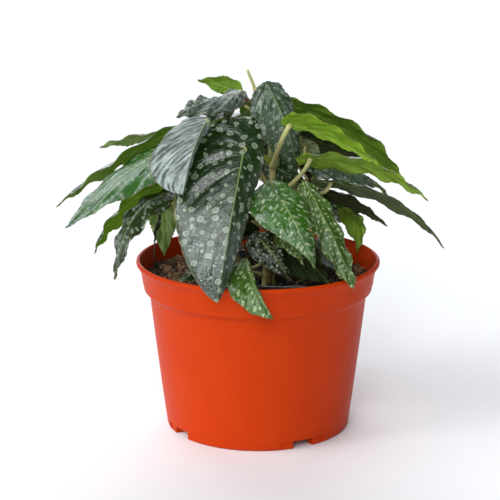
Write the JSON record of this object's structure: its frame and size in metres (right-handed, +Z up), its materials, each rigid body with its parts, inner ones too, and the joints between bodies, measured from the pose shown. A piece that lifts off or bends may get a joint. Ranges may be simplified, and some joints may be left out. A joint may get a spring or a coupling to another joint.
{
  "type": "potted begonia",
  "caption": "Spotted angel-wing begonia on jointed canes, rooted in a square grower's pot that stands in coir inside a round tapered pot with a collar and a slotted foot.",
  "frame": {"origin": "middle of the round pot's foot, on the surface that the pot stands on; the foliage reaches equally far to each side of it", "axes": "+Z up along the pot's axis; -Y towards the side with the largest leaf; +X to that side's right"},
  "size_m": [0.2491, 0.1911, 0.2354],
  "materials": {
    "orange_plastic": "satin",
    "black_plastic": "satin",
    "coir": "rough fibre",
    "soil": "rough crumb",
    "cane": "satin",
    "leaf": "waxy"
  },
  "bodies": {
    "root": {"pot": "orange_plastic", "inner_pot": "black_plastic", "coir": "coir", "soil": "soil", "cane_main": "cane", "cane_right": "cane", "cane_left": "cane", "cane_back": "cane", "shoot_front": "cane", "leaf_front": "leaf", "leaf_crown_left": "leaf", "leaf_crown_right": "leaf", "leaf_crown_back": "leaf", "leaf_crown_dark": "leaf", "leaf_left_silver": "leaf", "leaf_left_far": "leaf", "leaf_left_near": "leaf", "leaf_left_back": "leaf", "leaf_left_low": "leaf", "leaf_left_arched": "leaf", "leaf_left_hanging": "leaf", "leaf_left_twisted": "leaf", "leaf_low_left": "leaf", "leaf_over_rim": "leaf", "leaf_front_right": "leaf", "leaf_right_long": "leaf", "leaf_right_shaded": "leaf", "leaf_low_right": "leaf", "leaf_low_dark": "leaf", "leaf_low_lime": "leaf", "leaf_right_high": "leaf", "leaf_right_upper": "leaf", "leaf_right_grey": "leaf", "leaf_right_bright": "leaf", "leaf_right_thread": "leaf", "leaf_right_inner": "leaf", "leaf_right_olive": "leaf", "leaf_right_curled": "leaf", "leaf_right_dark": "leaf", "leaf_heart_pale": "leaf", "leaf_heart_back": "leaf", "leaf_heart_dark": "leaf", "leaf_heart_high": "leaf", "leaf_back_high": "leaf", "leaf_back_left": "leaf", "leaf_back_right": "leaf", "leaf_back_low_left": "leaf", "leaf_back_low": "leaf", "leaf_back_low_right": "leaf", "leaf_side_right": "leaf", "leaf_side_low_right": "leaf", "leaf_side_low_left": "leaf"}
  },
  "joints": []
}
